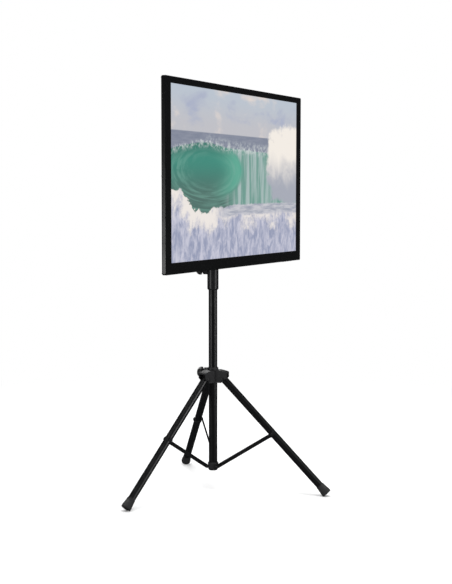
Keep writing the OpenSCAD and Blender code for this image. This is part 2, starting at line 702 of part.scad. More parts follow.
// The screws stand in a row along the top and the bottom edge, and one at the middle of each side.
module at_cover_screws() {
    x_out = disp_w/2 - screw_inset;
    z_out = disp_h/2 - screw_inset;
    for (x = [-1:0.5:1], z = [-1, 1]) translate([x*x_out, 0, tilt_z + z*z_out]) children();
    for (x = [-1, 1]) translate([x*x_out, 0, tilt_z]) children();
}
module rear_cover() {
    color("#141415") difference() {
        union() {
            difference() {
                cover_form(0);
                cover_form(cover_wall);
            }
            at_cover_screws() bar_y(split_y, edge_y + 1, 3*cover_screw_d);
        }
        at_cover_screws() bar_y(split_y + 1, edge_y - 1, cover_screw_d + 2*seat_gap);
        at_vesa() bar_y(box_y + 10, box_y - 1, vesa_boss_d + 1);
        translate([jack_x, 0, jack_z]) plate_y(box_y + 10, box_y - 1)
            square([jack_w + 2*seat_gap, jack_h + 2*seat_gap], center = true);
        translate([inlet_x, 0, jack_z]) plate_y(box_y + 10, box_y - 1)
            square([inlet_w + 2*seat_gap, inlet_h + 2*seat_gap], center = true);
        // Rows of slots along the top and the bottom of the rear box let air through.
        for (i = [-slots:slots], s = [-1, 1])
            translate([i*slot_pitch, 0, tilt_z + s*(disp_h/2 - box_inset - 32)])
                plate_y(box_y + 10, box_y - 1) square([5, 26], center = true);
    }
}
board_y = tray_floor - tray_t - 12;               // front face of the circuit boards
board_back = board_y - 1.6;
board_room = board_back - box_y - cover_wall - 1; // height that fits between a board and the cover
// A board on four posts, with its middle at x and z.
module board(x, z, w, h) {
    translate([x, 0, z]) {
        plate_y(board_y, board_back) square([w, h], center = true);
        for (i = [-1, 1], j = [-1, 1]) translate([i*(w/2 - 8), 0, j*(h/2 - 8)])
            bar_y(tray_floor - tray_t, board_y - 0.01, 6);
    }
}
// A component of height d on the back of a board.
module block(x, z, w, h, d) {
    translate([x, 0, z]) plate_y(board_back + 0.01, board_back - min(d, board_room))
        square([w, h], center = true);
}
module main_board() {
    color("#1e5a34") {
        board(jack_x, jack_z + 75, main_w, 170);
        block(jack_x - 20, jack_z + 90, 46, 46, 9);
        block(jack_x + 55, jack_z + 110, 24, 24, 2);
        block(jack_x + 55, jack_z + 70, 24, 24, 2);
        for (i = [-3:3]) block(jack_x + i*jack_pitch, jack_z + 1, 17, 15, 10);
    }
}
module power_board() {
    color("#a98b52") {
        board(inlet_x + 20, jack_z + 85, power_w, 190);
        block(inlet_x + 20, jack_z + 110, 50, 42, 14);
        block(inlet_x + 90, jack_z + 110, 34, 34, 14);
        for (i = [0:3]) translate([inlet_x - 50 + 24*i, 0, jack_z + 160])
            bar_y(board_back + 0.01, board_back - min(14.4, board_room), 16);
    }
}
module speakers() {
    color("#101010") for (s = [-1, 1]) translate([s*(box_half_w - 171), 0, box_bottom + 74])
        plate_y(tray_floor - tray_t, box_y + cover_wall + 1) square([170, 38], center = true);
}
module jack_panel() {
    color("#3c3d40") translate([jack_x, 0, jack_z]) plate_y(box_y + cover_wall, box_y + 1) difference() {
        square([jack_w, jack_h], center = true);
        for (i = [-3:1]) translate([i*jack_pitch, 0]) square([15, 6], center = true);
        for (i = [2:3]) translate([i*jack_pitch, 0]) circle(d = 9);
    }
}
module power_inlet() {
    color("#0f0f10") difference() {
        translate([inlet_x, 0, jack_z]) union() {
            plate_y(board_back, box_y) square([inlet_w, inlet_h], center = true);
            plate_y(box_y, box_y - 1.5) square([inlet_w + 6.6, inlet_h + 6.2], center = true);
        }
        translate([inlet_x, 0, jack_z]) plate_y(box_y + 14, box_y - 2)
            square([inlet_w - 5.4, inlet_h - 5.8], center = true);
    }
}
module cover_screws() {
    color("#2a2a2c") at_cover_screws() {
        bar_y(face_y - 4, edge_y - 0.01, cover_screw_d);
        bar_y(edge_y, edge_y - 2, 2*cover_screw_d);
    }
}
key_y = (face_y + split_y)/2 - 0.5;
module key_board() {
    color("#1e5a34") translate([key_x + key_pitch, -key_y - 3.8, bottom_z + key_wall + key_board_h])
        translate([-2*key_pitch + 2, 0, 0]) union() {
            cube([4*key_pitch - 4, 7.6, 1.6]);
            for (i = [0:3]) translate([(i + 0.5)*key_pitch - 5, 0.8, -1.4]) cube([6, 6, 1.5]);
        }
}
module key(i) {
    color("#2c2c2e") translate([key_x + (i - 0.5)*key_pitch, -key_y, bottom_z]) union() {
        translate([-key_w/2, -key_d/2, -key_proud]) cube([key_w, key_d, key_proud + key_wall + 0.5]);
        translate([-key_w/2 - 1.6, -key_d/2 - 0.9, key_wall + 0.3]) cube([key_w + 3.2, key_d + 1.8, 1.4]);
        translate([-1.5, -1.5, key_wall + 1]) cube([3, 3, key_board_h - 1.4 - key_travel - seat_gap - 1]);
    }
}

mast_tube();
bottom_collar();
brace_pins();
top_collar();
top_collar_nut();
top_collar_pad();
leg_hub();
leg_pivot_bolts();
hub_nut();
hub_pad();
hub_knob();
hub_stud();
leg_tube(1);  // leg_tube_1
leg_tube(2);  // leg_tube_2
leg_tube(3);  // leg_tube_3
leg_insert(1);  // leg_insert_1
leg_insert(2);  // leg_insert_2
leg_insert(3);  // leg_insert_3
rubber_foot(1);  // rubber_foot_1
rubber_foot(2);  // rubber_foot_2
rubber_foot(3);  // rubber_foot_3
brace_saddle(1);  // brace_saddle_1
brace_saddle(2);  // brace_saddle_2
brace_saddle(3);  // brace_saddle_3
brace(1);  // brace_1
brace(2);  // brace_2
brace(3);  // brace_3
brace_rivet(1);  // brace_rivet_1
brace_rivet(2);  // brace_rivet_2
brace_rivet(3);  // brace_rivet_3
lift_pole();
pole_bush();
top_knob();
top_stud();
head_socket();
tilt_bolt();
head_knob();
head_stud();
tilt_knob();
tilt_bracket();
display_plate();
plate_screws();
front_bezel();
lcd_panel();
light_guide();
led_bars();
backlight_tray();
rear_cover();
main_board();
power_board();
speakers();
jack_panel();
power_inlet();
cover_screws();
key_board();
key(0);  // key_power
key(1);  // key_source
key(2);  // key_up
key(3);  // key_down
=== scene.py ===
"""Looks of a display on a folding tripod stand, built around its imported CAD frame.

Every length is in metres, in the frame of the CAD: the origin is on the floor under the mast,
+Z is up, and the display faces -Y. Places are read from the frame's nodes and joints.
"""
import json
import math

import bmesh
import bpy
from mathutils import Matrix, Vector


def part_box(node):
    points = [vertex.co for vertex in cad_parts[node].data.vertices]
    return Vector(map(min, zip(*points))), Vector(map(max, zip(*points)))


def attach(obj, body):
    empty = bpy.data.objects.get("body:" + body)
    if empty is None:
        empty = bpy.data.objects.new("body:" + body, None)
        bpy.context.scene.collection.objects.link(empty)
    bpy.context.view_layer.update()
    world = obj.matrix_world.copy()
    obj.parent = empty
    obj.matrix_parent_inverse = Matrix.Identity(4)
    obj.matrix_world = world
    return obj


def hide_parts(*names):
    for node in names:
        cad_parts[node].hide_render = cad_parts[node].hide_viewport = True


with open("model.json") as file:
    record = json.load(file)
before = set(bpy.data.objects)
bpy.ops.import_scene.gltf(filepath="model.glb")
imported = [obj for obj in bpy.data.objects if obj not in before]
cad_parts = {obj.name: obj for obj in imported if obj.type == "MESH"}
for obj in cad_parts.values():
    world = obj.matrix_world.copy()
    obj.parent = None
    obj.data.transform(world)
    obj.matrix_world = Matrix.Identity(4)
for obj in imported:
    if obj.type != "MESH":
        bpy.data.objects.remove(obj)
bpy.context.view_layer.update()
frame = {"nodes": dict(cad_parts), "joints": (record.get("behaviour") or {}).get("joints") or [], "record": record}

MM = 0.001
NODES = frame["nodes"]
JOINTS = {j["name"]: j for j in frame["joints"]}
COUPLINGS = {c["joint"]: c for c in frame["record"]["behaviour"]["couplings"]}
SLOTS = {s["node"]: s["material_slot"] for s in frame["record"]["subparts"]}
BODY = {n: b for b, members in frame["record"]["behaviour"]["bodies"].items() for n in members}
LEGS = (1, 2, 3)


# ---------------------------------------------------------------- camera, floor and lights

CAMERA_AZIMUTH = math.radians(-151.05)     # where the camera stands, seen from above
CAMERA_DISTANCE = 4.711
CAMERA_HEIGHT = 1.2073
CAMERA_PITCH = math.radians(4.784)         # looks down by this much
CAMERA_HEADING = math.radians(28.305)      # looks past the mast by a little, to its right
SENSOR = 36.0
LENS = 71.84

AMBIENT = 0.92          # light from all round on matt surfaces
MIRRORED = 0.05         # the surround as polished surfaces reflect it
WHITE = (1.0, 1.0, 1.0, 1.0)
FLOOR_SIZE = 80.0
FLOOR_NEAR = 0.8        # the floor is a real surface within this distance of the mast
FLOOR_FAR = 3.0         # and one with the surround beyond this one


def aim(position, target):
    """The matrix of a camera or light at position that looks at target."""
    back = (Vector(position) - Vector(target)).normalized()
    return Matrix.Translation(position) @ back.to_track_quat("Z", "Y").to_matrix().to_4x4()


def new_object(name, data):
    thing = bpy.data.objects.new(name, data)
    bpy.context.scene.collection.objects.link(thing)
    return thing


def make_camera():
    data = bpy.data.cameras.new("camera")
    data.lens = LENS
    data.sensor_width = SENSOR
    data.clip_end = 100.0
    camera = new_object("camera", data)
    position = Vector((CAMERA_DISTANCE * math.cos(CAMERA_AZIMUTH),
                       CAMERA_DISTANCE * math.sin(CAMERA_AZIMUTH), CAMERA_HEIGHT))
    ahead = Vector((math.cos(CAMERA_HEADING) * math.cos(CAMERA_PITCH),
                    math.sin(CAMERA_HEADING) * math.cos(CAMERA_PITCH),
                    -math.sin(CAMERA_PITCH)))
    camera.matrix_world = aim(position, position + ahead)
    bpy.context.scene.camera = camera


def area_light(name, position, target, width, height, power):
    data = bpy.data.lights.new(name, "AREA")
    data.shape = "RECTANGLE"
    data.size, data.size_y = width, height
    data.energy = power
    new_object(name, data).matrix_world = aim(position, target)


# ---------------------------------------------------------------- shader building blocks

FLOAT = "NodeSocketFloat"
VECTOR = "NodeSocketVector"
GEOMETRY = "NodeSocketGeometry"
MATERIAL = "NodeSocketMaterial"

TONE_SWING = 0.25       # how far a colour drifts to either side over a surface
TONE_ROUGHNESS = 0.16   # and its roughness, from one side to the other
DUST_COLOUR = (0.34, 0.33, 0.31)
DUST_ROUGHNESS = 0.35   # added where dust lies
RUB_POLISH = 0.10       # taken away where a surface is rubbed

# The lit picture's layout, in shares of its width and height from its lower left corner
HORIZON = (0.737, 0.744)
SWELL_CREST = [(0, 0.64), (0.12, 0.672), (0.25, 0.69), (0.4, 0.668), (0.55, 0.66), (0.8, 0.645),
               (1.0, 0.60)]
HOLLOW_CENTRE = (0.27, 0.525)
HOLLOW_RADII = (0.25, 0.16)
PLUME_CENTRE = (0.93, 0.57)
PLUME_RADII = (0.21, 0.27)
FOAM_EDGE = [(0, 0.43), (0.08, 0.385), (0.16, 0.335), (0.28, 0.30), (0.45, 0.325), (0.7, 0.335),
             (1.0, 0.335)]

TOP_RING = 0.999        # only the closing fan of a lathe shape lies above this share of its rings
HEAD_SHARE = 0.8        # a fastener's head is what reaches this share of its largest radius

def feed(tree, socket, value):
    """Links an input to another socket, or sets it to a constant."""
    if isinstance(value, bpy.types.NodeSocket):
        tree.links.new(value, socket)
    else:
        socket.default_value = value


def add(tree, kind, settings=None, **values):
    """Adds a node; settings are its properties and values its inputs, as constants or sockets."""
    node = tree.nodes.new(kind)
    for key, value in (settings or {}).items():
        setattr(node, key, value)
    for key, value in values.items():
        name = key.replace("_", " ")
        feed(tree, next(s for s in node.inputs if s.name == name and s.enabled), value)
    return node


def socket_of(node, name):
    return next(s for s in node.outputs if s.name == name and s.enabled)


def math_node(tree, operation, *values, clamp=False):
    """A Math node whose inputs are sockets or numbers; returns its output."""
    node = add(tree, "ShaderNodeMath", {"operation": operation, "use_clamp": clamp})
    for socket, value in zip(node.inputs, values):
        feed(tree, socket, value)
    return node.outputs[0]


def product(tree, first, *others):
    """All values multiplied together."""
    for value in others:
        first = math_node(tree, "MULTIPLY", first, value)
    return first


def ramp_value(tree, value, low, high):
    """0 below low and 1 above high, with a soft step between them; low may be the larger."""
    rising = float(low < high)
    return add(tree, "ShaderNodeMapRange", {"interpolation_type": "SMOOTHSTEP"}, Value=value,
               From_Min=min(low, high), From_Max=max(low, high),
               To_Min=1.0 - rising, To_Max=rising).outputs[0]


def mix_colour(tree, factor, first, second):
    """A colour mix; first and second are sockets or constants."""
    node = add(tree, "ShaderNodeMix", {"data_type": "RGBA"})
    tree.links.new(factor, node.inputs[0])
    for socket, value in ((node.inputs[6], first), (node.inputs[7], second)):
        feed(tree, socket, (*value, 1.0) if isinstance(value, tuple) else value)
    return node.outputs[2]


def mix_shader(tree, factor, first, second):
    node = tree.nodes.new("ShaderNodeMixShader")
    for socket, source in zip(node.inputs, (factor, first, second)):
        tree.links.new(source, socket)
    return node.outputs[0]


def scaled_coordinates(tree, vector, scale):
    return add(tree, "ShaderNodeMapping", Vector=vector, Scale=scale).outputs[0]


def noise_value(tree, vector, scale, detail, roughness=0.5, distortion=0.0):
    return socket_of(add(tree, "ShaderNodeTexNoise", Vector=vector, Scale=scale, Detail=detail,
                         Roughness=roughness, Distortion=distortion), "Fac")


def profile_curve(tree, value, points, handles="VECTOR"):
    """Looks a value up on a curve through points, which run from 0 to 1."""
    node = add(tree, "ShaderNodeFloatCurve", Value=value)
    node.mapping.use_clip = False
    curve = node.mapping.curves[0]
    for _ in range(len(points) - 2):
        curve.points.new(0.5, 0.5)
    for point, location in zip(curve.points, points):
        point.location = location
        point.handle_type = handles
    node.mapping.update()
    return node.outputs[0]


def object_coordinates(tree):
    return tree.nodes.new("ShaderNodeTexCoord").outputs["Object"]


def new_material(name, values):
    """A material, its tree and its shader, with the shader's inputs set by name."""
    material = bpy.data.materials.new(name)
    material.use_nodes = True
    shader = material.node_tree.nodes["Principled BSDF"]
    for label, value in values.items():
        shader.inputs[label].default_value = value
    return material, material.node_tree, shader


def make_world():
    """White for the camera and for matt surfaces, dim in reflections, so that black stays black."""
    world = bpy.data.worlds.new("studio")
    bpy.context.scene.world = world
    world.use_nodes = True
    tree = world.node_tree
    tree.nodes.clear()
    path = tree.nodes.new("ShaderNodeLightPath")

    def background(colour, strength):
        return add(tree, "ShaderNodeBackground", Color=colour, Strength=strength).outputs[0]

    matt = background(WHITE, AMBIENT)
    glossy = background((0.9, 0.95, 1.0, 1.0), MIRRORED)
    shown = mix_shader(tree, path.outputs["Is Glossy Ray"], matt, glossy)
    shown = mix_shader(tree, path.outputs["Is Camera Ray"], shown, background(WHITE, 1.0))
    add(tree, "ShaderNodeOutputWorld", Surface=shown)


def make_floor():
    """A white floor that fades into the white surround away from the stand."""
    bpy.ops.mesh.primitive_plane_add(size=FLOOR_SIZE)
    floor = bpy.context.object
    floor.name = "floor"
    white, tree, shader = new_material("floor_white", {
        "Base Color": (0.94, 0.94, 0.94, 1.0), "Roughness": 1.0, "Specular IOR Level": 0.0})
    glow = add(tree, "ShaderNodeEmission", Color=WHITE)
    distance = add(tree, "ShaderNodeVectorMath", {"operation": "LENGTH"})
    tree.links.new(object_coordinates(tree), distance.inputs[0])
    fade = ramp_value(tree, distance.outputs["Value"], FLOOR_NEAR, FLOOR_FAR)
    path = tree.nodes.new("ShaderNodeLightPath")
    seen = product(tree, fade, path.outputs["Is Camera Ray"])
    surface = mix_shader(tree, seen, shader.outputs[0], glow.outputs[0])
    tree.links.new(surface, tree.nodes["Material Output"].inputs["Surface"])
    floor.data.materials.append(white)
    floor.visible_glossy = False


def make_studio():
    """Soft boxes at both sides, behind and above, which draw the highlights on the tubes."""
    make_world()
    make_floor()
    middle = Vector((0, 0, 0.8))
    area_light("soft_left", (-3.63, 1.54, 0.45), (0, 0, 0.45), 0.6, 1.2, 22)
    area_light("soft_right", (0.1, -3.94, 1.2), middle, 0.6, 2.6, 40)
    area_light("soft_back", (3.0, 2.6, 2.0), middle, 1.6, 2.4, 50)
    area_light("soft_top", (-0.4, -0.6, 4.2), (0, 0, 0.6), 2.0, 2.0, 80)
    bpy.context.scene.view_settings.view_transform = "Standard"


def new_tree(name, kind, inputs, outputs):
    """A node tree, its input and its output; inputs give a name, a type and a default value."""
    tree = bpy.data.node_groups.new(name, kind)
    for label, socket_type, value in inputs:
        item = tree.interface.new_socket(name=label, in_out="INPUT", socket_type=socket_type)
        if value is not None:
            item.default_value = value
    for label, socket_type in outputs:
        tree.interface.new_socket(name=label, in_out="OUTPUT", socket_type=socket_type)
    return tree, tree.nodes.new("NodeGroupInput"), tree.nodes.new("NodeGroupOutput")


def send(tree, out, **results):
    """Links results to a tree's outputs by name."""
    for key, value in results.items():
        tree.links.new(value, out.inputs[key.replace("_", " ")])


def make_grain_group():
    """Fine surface relief: the orange peel of a powder coat, pebble and brushed lines."""
    group, given, out = new_tree(
        "surface_grain", "ShaderNodeTree", [("Vector", VECTOR, None), ("Grain Size", FLOAT, 0.001)],
        [("Orange Peel", FLOAT), ("Pebble", FLOAT), ("Brushed", FLOAT)])
    vector = given.outputs["Vector"]
    per_metre = math_node(group, "DIVIDE", 1.0, given.outputs["Grain Size"])
    peel = noise_value(group, vector, per_metre, 1.5, 0.45)
    cells = add(group, "ShaderNodeTexVoronoi", {"feature": "SMOOTH_F1"}, Vector=vector,
                Scale=per_metre, Smoothness=0.6)
    pebble = math_node(group, "ADD", socket_of(cells, "Distance"), product(group, peel, 0.6))
    long_way = scaled_coordinates(group, vector, (1.0, 1.0, 0.03))
    send(group, out, Orange_Peel=peel, Pebble=pebble,
         Brushed=noise_value(group, long_way, per_metre, 3.0, 0.6))
    return group


def make_handling_group():
    """Marks of use: settled dust on faces that look up, rubbed spots, hairlines and slow tone."""
    group, given, out = new_tree(
        "handling_marks", "ShaderNodeTree",
        [("Vector", VECTOR, None), ("Dust", FLOAT, 0.3), ("Rub", FLOAT, 0.3)],
        [("Dust Mask", FLOAT), ("Rub Mask", FLOAT), ("Hairlines", FLOAT), ("Tone", FLOAT)])
    vector, dust, rub = (given.outputs[name] for name in ("Vector", "Dust", "Rub"))
    split = group.nodes.new("ShaderNodeSeparateXYZ")
    group.links.new(group.nodes.new("ShaderNodeTexCoord").outputs["Normal"], split.inputs[0])
    upward = ramp_value(group, split.outputs["Z"], 0.35, 0.95)
    clouds = ramp_value(group, noise_value(group, vector, 38.0, 5.0, 0.62), 0.38, 0.66)
    specks = ramp_value(group, noise_value(group, vector, 900.0, 2.0, 0.7), 0.62, 0.72)
    loose = math_node(group, "MULTIPLY_ADD", specks, 0.35, product(group, upward, clouds))
    worn = ramp_value(group, noise_value(group, vector, 70.0, 6.0, 0.7, 0.4), 0.60, 0.74)
    skew = add(group, "ShaderNodeMapping", Vector=vector, Rotation=(0.5, 0.9, 0.3),
               Scale=(1.0, 1.0, 0.02))
    lines = ramp_value(group, noise_value(group, skew.outputs[0], 700.0, 2.0), 0.66, 0.70)
    send(group, out, Dust_Mask=math_node(group, "MULTIPLY", loose, dust, clamp=True),
         Rub_Mask=math_node(group, "MULTIPLY", worn, rub, clamp=True),
         Hairlines=math_node(group, "MULTIPLY", lines, rub, clamp=True),
         Tone=noise_value(group, vector, 9.0, 3.0, 0.55))
    return group


GRAIN = make_grain_group()
HANDLING = make_handling_group()


def finish(name, colour, roughness, metallic=0.0, grain="Orange Peel", grain_size=1.2 * MM,
           relief=0.1, depth=0.05 * MM, dust=0.15, rub=0.25, rub_colour=(0.10, 0.10, 0.105),
           specular=0.5):
    """A surface with grain, slow tone, rubbed spots, hairlines and dust."""
    material, tree, shader = new_material(name, {"Metallic": metallic, "Specular IOR Level": specular})
    place = object_coordinates(tree)
    marks = add(tree, "ShaderNodeGroup", {"node_tree": HANDLING}, Vector=place, Dust=dust, Rub=rub)
    surface = add(tree, "ShaderNodeGroup", {"node_tree": GRAIN}, Vector=place, Grain_Size=grain_size)
    tone, hairlines, rub_mask, dust_mask = (
        marks.outputs[label] for label in ("Tone", "Hairlines", "Rub Mask", "Dust Mask"))

    darker = tuple(c * (1 - TONE_SWING) for c in colour)
    lighter = tuple(min(1.0, c * (1 + TONE_SWING)) for c in colour)
    base = mix_colour(tree, tone, darker, lighter)
    rubbed = math_node(tree, "MULTIPLY_ADD", hairlines, 0.5, rub_mask, clamp=True)
    base = mix_colour(tree, rubbed, base, rub_colour)
    base = mix_colour(tree, dust_mask, base, DUST_COLOUR)
    tree.links.new(base, shader.inputs["Base Color"])

    uneven = math_node(tree, "MULTIPLY_ADD", tone, TONE_ROUGHNESS, roughness - TONE_ROUGHNESS / 2)
    dulled = math_node(tree, "MULTIPLY_ADD", dust_mask, DUST_ROUGHNESS, uneven)
    polished = math_node(tree, "MULTIPLY_ADD", rub_mask, -RUB_POLISH, dulled, clamp=True)
    tree.links.new(polished, shader.inputs["Roughness"])

    bump = add(tree, "ShaderNodeBump", Strength=relief, Distance=depth, Height=surface.outputs[grain])
    tree.links.new(bump.outputs["Normal"], shader.inputs["Normal"])
    return material


def light_of(red, green, blue):
    """A display colour, given in its usual 0 to 255 steps, as amounts of light."""
    return tuple((c / 255) ** 2.2 for c in (red, green, blue))


def oval_distance(tree, across, up, centre, radii):
    """How far a place is from an oval's middle, 1 on its outline, and its angle round the middle."""
    x = math_node(tree, "MULTIPLY_ADD", across, 1 / radii[0], -centre[0] / radii[0])
    z = math_node(tree, "MULTIPLY_ADD", up, 1 / radii[1], -centre[1] / radii[1])
    squares = math_node(tree, "MULTIPLY_ADD", x, x, product(tree, z, z))
    return math_node(tree, "POWER", squares, 0.5), math_node(tree, "ARCTAN2", z, x)


def nudged(tree, value, noise, amount):
    """A value moved up and down by a noise that lies around one half."""
    return math_node(tree, "ADD", value, math_node(tree, "MULTIPLY_ADD", noise, amount, -amount / 2))


def stretched_noise(tree, flat, height, *settings):
    """Noise whose patches are flattened, or drawn out where height is below 1."""
    return noise_value(tree, scaled_coordinates(tree, flat, (1.0, 1.0, height)), *settings)


def paint_sky(tree, flat, up):
    """A pale sky with slow clouds, over a band of far water."""
    cloud = stretched_noise(tree, flat, 2.2, 2.4, 6.0, 0.55, 0.35)
    sky = mix_colour(tree, ramp_value(tree, up, 0.76, 1.0),
                     light_of(196, 196, 202), light_of(190, 200, 212))
    sky = mix_colour(tree, ramp_value(tree, cloud, 0.50, 0.68), sky, light_of(230, 219, 212))
    sky = mix_colour(tree, ramp_value(tree, cloud, 0.46, 0.30), sky, light_of(174, 181, 203))
    water = mix_colour(tree, stretched_noise(tree, flat, 10.0, 8.0, 5.0, 0.65),
                       light_of(104, 114, 136), light_of(158, 162, 176))
    return mix_colour(tree, ramp_value(tree, up, *HORIZON), water, sky)


def paint_hollow(tree, across, up, below):
    """Green water inside the swell, grooved round the hollow and dark under the crest."""
    hollow, turn = oval_distance(tree, across, up, HOLLOW_CENTRE, HOLLOW_RADII)
    arcs = add(tree, "ShaderNodeCombineXYZ", X=product(tree, hollow, 7.0), Y=product(tree, turn, 0.8))
    grooves = noise_value(tree, arcs.outputs[0], 1.6, 5.0, 0.6, 0.3)
    water = mix_colour(tree, ramp_value(tree, up, 0.60, 0.36),
                       light_of(64, 140, 124), light_of(80, 112, 104))
    glow = product(tree, ramp_value(tree, hollow, 0.15, 0.85), ramp_value(tree, hollow, 1.15, 0.9),
                   ramp_value(tree, across, 0.25, 0.5))
    water = mix_colour(tree, glow, water, light_of(96, 172, 150))
    grooved = product(tree, ramp_value(tree, grooves, 0.40, 0.66),
                      ramp_value(tree, hollow, 0.35, 0.9), 0.45)
    water = mix_colour(tree, grooved, water, light_of(122, 176, 160))
    under_lip = product(tree, ramp_value(tree, below, 0.10, 0.0),
                        ramp_value(tree, across, 0.5, 0.35), 0.6)
    return mix_colour(tree, under_lip, water, light_of(62, 108, 98)), hollow


def paint_swell(tree, flat, across, up, fine, picture):
    """A hollow green swell: smooth inside, with a pale curtain of falling water at its right."""
    crest = nudged(tree, profile_curve(tree, across, SWELL_CREST, "AUTO"), fine, 0.03)
    below = math_node(tree, "SUBTRACT", crest, up)
    water, hollow = paint_hollow(tree, across, up, below)
    falling = stretched_noise(tree, flat, 0.10, 20.0, 4.0, 0.55, 0.4)
    curtain = mix_colour(tree, ramp_value(tree, falling, 0.38, 0.64),
                         light_of(112, 158, 146), light_of(172, 192, 190))
    outside = product(tree, ramp_value(tree, hollow, 0.95, 1.10), ramp_value(tree, across, 0.36, 0.50))
    water = mix_colour(tree, outside, water, curtain)
    picture = mix_colour(tree, ramp_value(tree, below, 0.0, 0.01), picture, water)
    torn = ramp_value(tree, fine, 0.44, 0.60)
    lip = product(tree, ramp_value(tree, below, -0.014, 0.0), ramp_value(tree, below, 0.05, 0.008),
                  torn, 0.75)
    blown = product(tree, ramp_value(tree, below, -0.055, -0.01),
                    ramp_value(tree, below, 0.01, -0.004), torn,
                    ramp_value(tree, across, 0.12, 0.4), 0.55)
    white = math_node(tree, "MAXIMUM", lip, blown)
    return mix_colour(tree, white, picture, light_of(214, 220, 220))


def paint_spray(tree, across, up, billow, fine, picture):
    """A white plume thrown up at the right."""
    plume = oval_distance(tree, across, up, PLUME_CENTRE, PLUME_RADII)[0]
    edge = nudged(tree, nudged(tree, plume, billow, 1.1), fine, 0.35)
    height = nudged(tree, up, billow, 0.30)
    white = mix_colour(tree, ramp_value(tree, height, 0.42, 0.66),
                       light_of(170, 174, 186), light_of(250, 243, 234))
    return mix_colour(tree, ramp_value(tree, edge, 1.08, 0.86), picture, white)


def paint_foam(tree, flat, across, up, billow, fine, picture):
    """Broken water across the front, with bright crests along its far edge."""
    front = profile_curve(tree, across, FOAM_EDGE, "AUTO")
    ragged = product(tree, math_node(tree, "SUBTRACT", billow, 0.5),
                     ramp_value(tree, across, 0.6, 0.1))
    front = nudged(tree, math_node(tree, "MULTIPLY_ADD", ragged, 0.24, front), fine, 0.03)
    depth = math_node(tree, "SUBTRACT", front, up)
    tufts = stretched_noise(tree, flat, 0.45, 24.0, 7.0, 0.68, 0.5)
    foam = mix_colour(tree, ramp_value(tree, tufts, 0.36, 0.66),
                      light_of(150, 157, 184), light_of(206, 206, 222))
    ripples = stretched_noise(tree, flat, 7.0, 7.0, 5.0, 0.6)
    flat_water = mix_colour(tree, ramp_value(tree, ripples, 0.35, 0.65),
                            light_of(160, 165, 180), light_of(206, 206, 212))
    calm = product(tree, ramp_value(tree, across, 0.22, 0.45),
                   ramp_value(tree, nudged(tree, depth, billow, 0.06), 0.09, 0.05))
    foam = mix_colour(tree, calm, foam, flat_water)
    crests = nudged(tree, nudged(tree, depth, billow, 0.45), fine, 0.2)
    bright = product(tree, ramp_value(tree, crests, 0.16, 0.02), ramp_value(tree, calm, 0.9, 0.3))
    foam = mix_colour(tree, bright, foam, light_of(244, 237, 231))
    return mix_colour(tree, ramp_value(tree, depth, 0.0, 0.01), picture, foam)


def make_screen():
    """The lit panel: a plain seascape of sky, a breaking swell, spray and foam, all from noise."""
    material, tree, shader = new_material("screen", {
        "Base Color": (0.012, 0.012, 0.014, 1.0), "Roughness": 0.34, "Specular IOR Level": 0.3,
        "Emission Strength": 0.92})
    low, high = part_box("lcd_panel")
    width, height = high.x - low.x, high.z - low.z
    fit = add(tree, "ShaderNodeMapping", Vector=object_coordinates(tree),
              Location=(-low.x / width, 0.0, -low.z / height), Scale=(1 / width, 0.0, 1 / height))
    split = add(tree, "ShaderNodeSeparateXYZ", Vector=fit.outputs[0])
    across, up = split.outputs["X"], split.outputs["Z"]
    flat = scaled_coordinates(tree, fit.outputs[0], (width / height, 1.0, 1.0))
    billow = noise_value(tree, flat, 6.0, 8.0, 0.60, 0.4)
    fine = noise_value(tree, flat, 30.0, 6.0, 0.7, 0.3)

    picture = paint_sky(tree, flat, up)
    picture = paint_swell(tree, flat, across, up, fine, picture)
    picture = paint_spray(tree, across, up, billow, fine, picture)
    picture = paint_foam(tree, flat, across, up, billow, fine, picture)
    tree.links.new(picture, shader.inputs["Emission Color"])
    return material


def make_circuit(name, mask_colour, copper_colour):
    """A circuit board: solder mask over a maze of tracks."""
    material = finish(name, mask_colour, 0.35, grain_size=2 * MM, dust=0.1, rub=0.1)
    tree = material.node_tree
    turn = add(tree, "ShaderNodeMapping", Vector=object_coordinates(tree),
               Rotation=(math.pi / 2, 0, 0))
    tracks = add(tree, "ShaderNodeTexBrick", Vector=turn.outputs[0], Scale=90.0, Mortar_Size=0.03)
    base = tree.nodes["Principled BSDF"].inputs["Base Color"]
    mask = base.links[0].from_socket
    tree.links.new(mix_colour(tree, socket_of(tracks, "Fac"), mask, copper_colour), base)
    return material


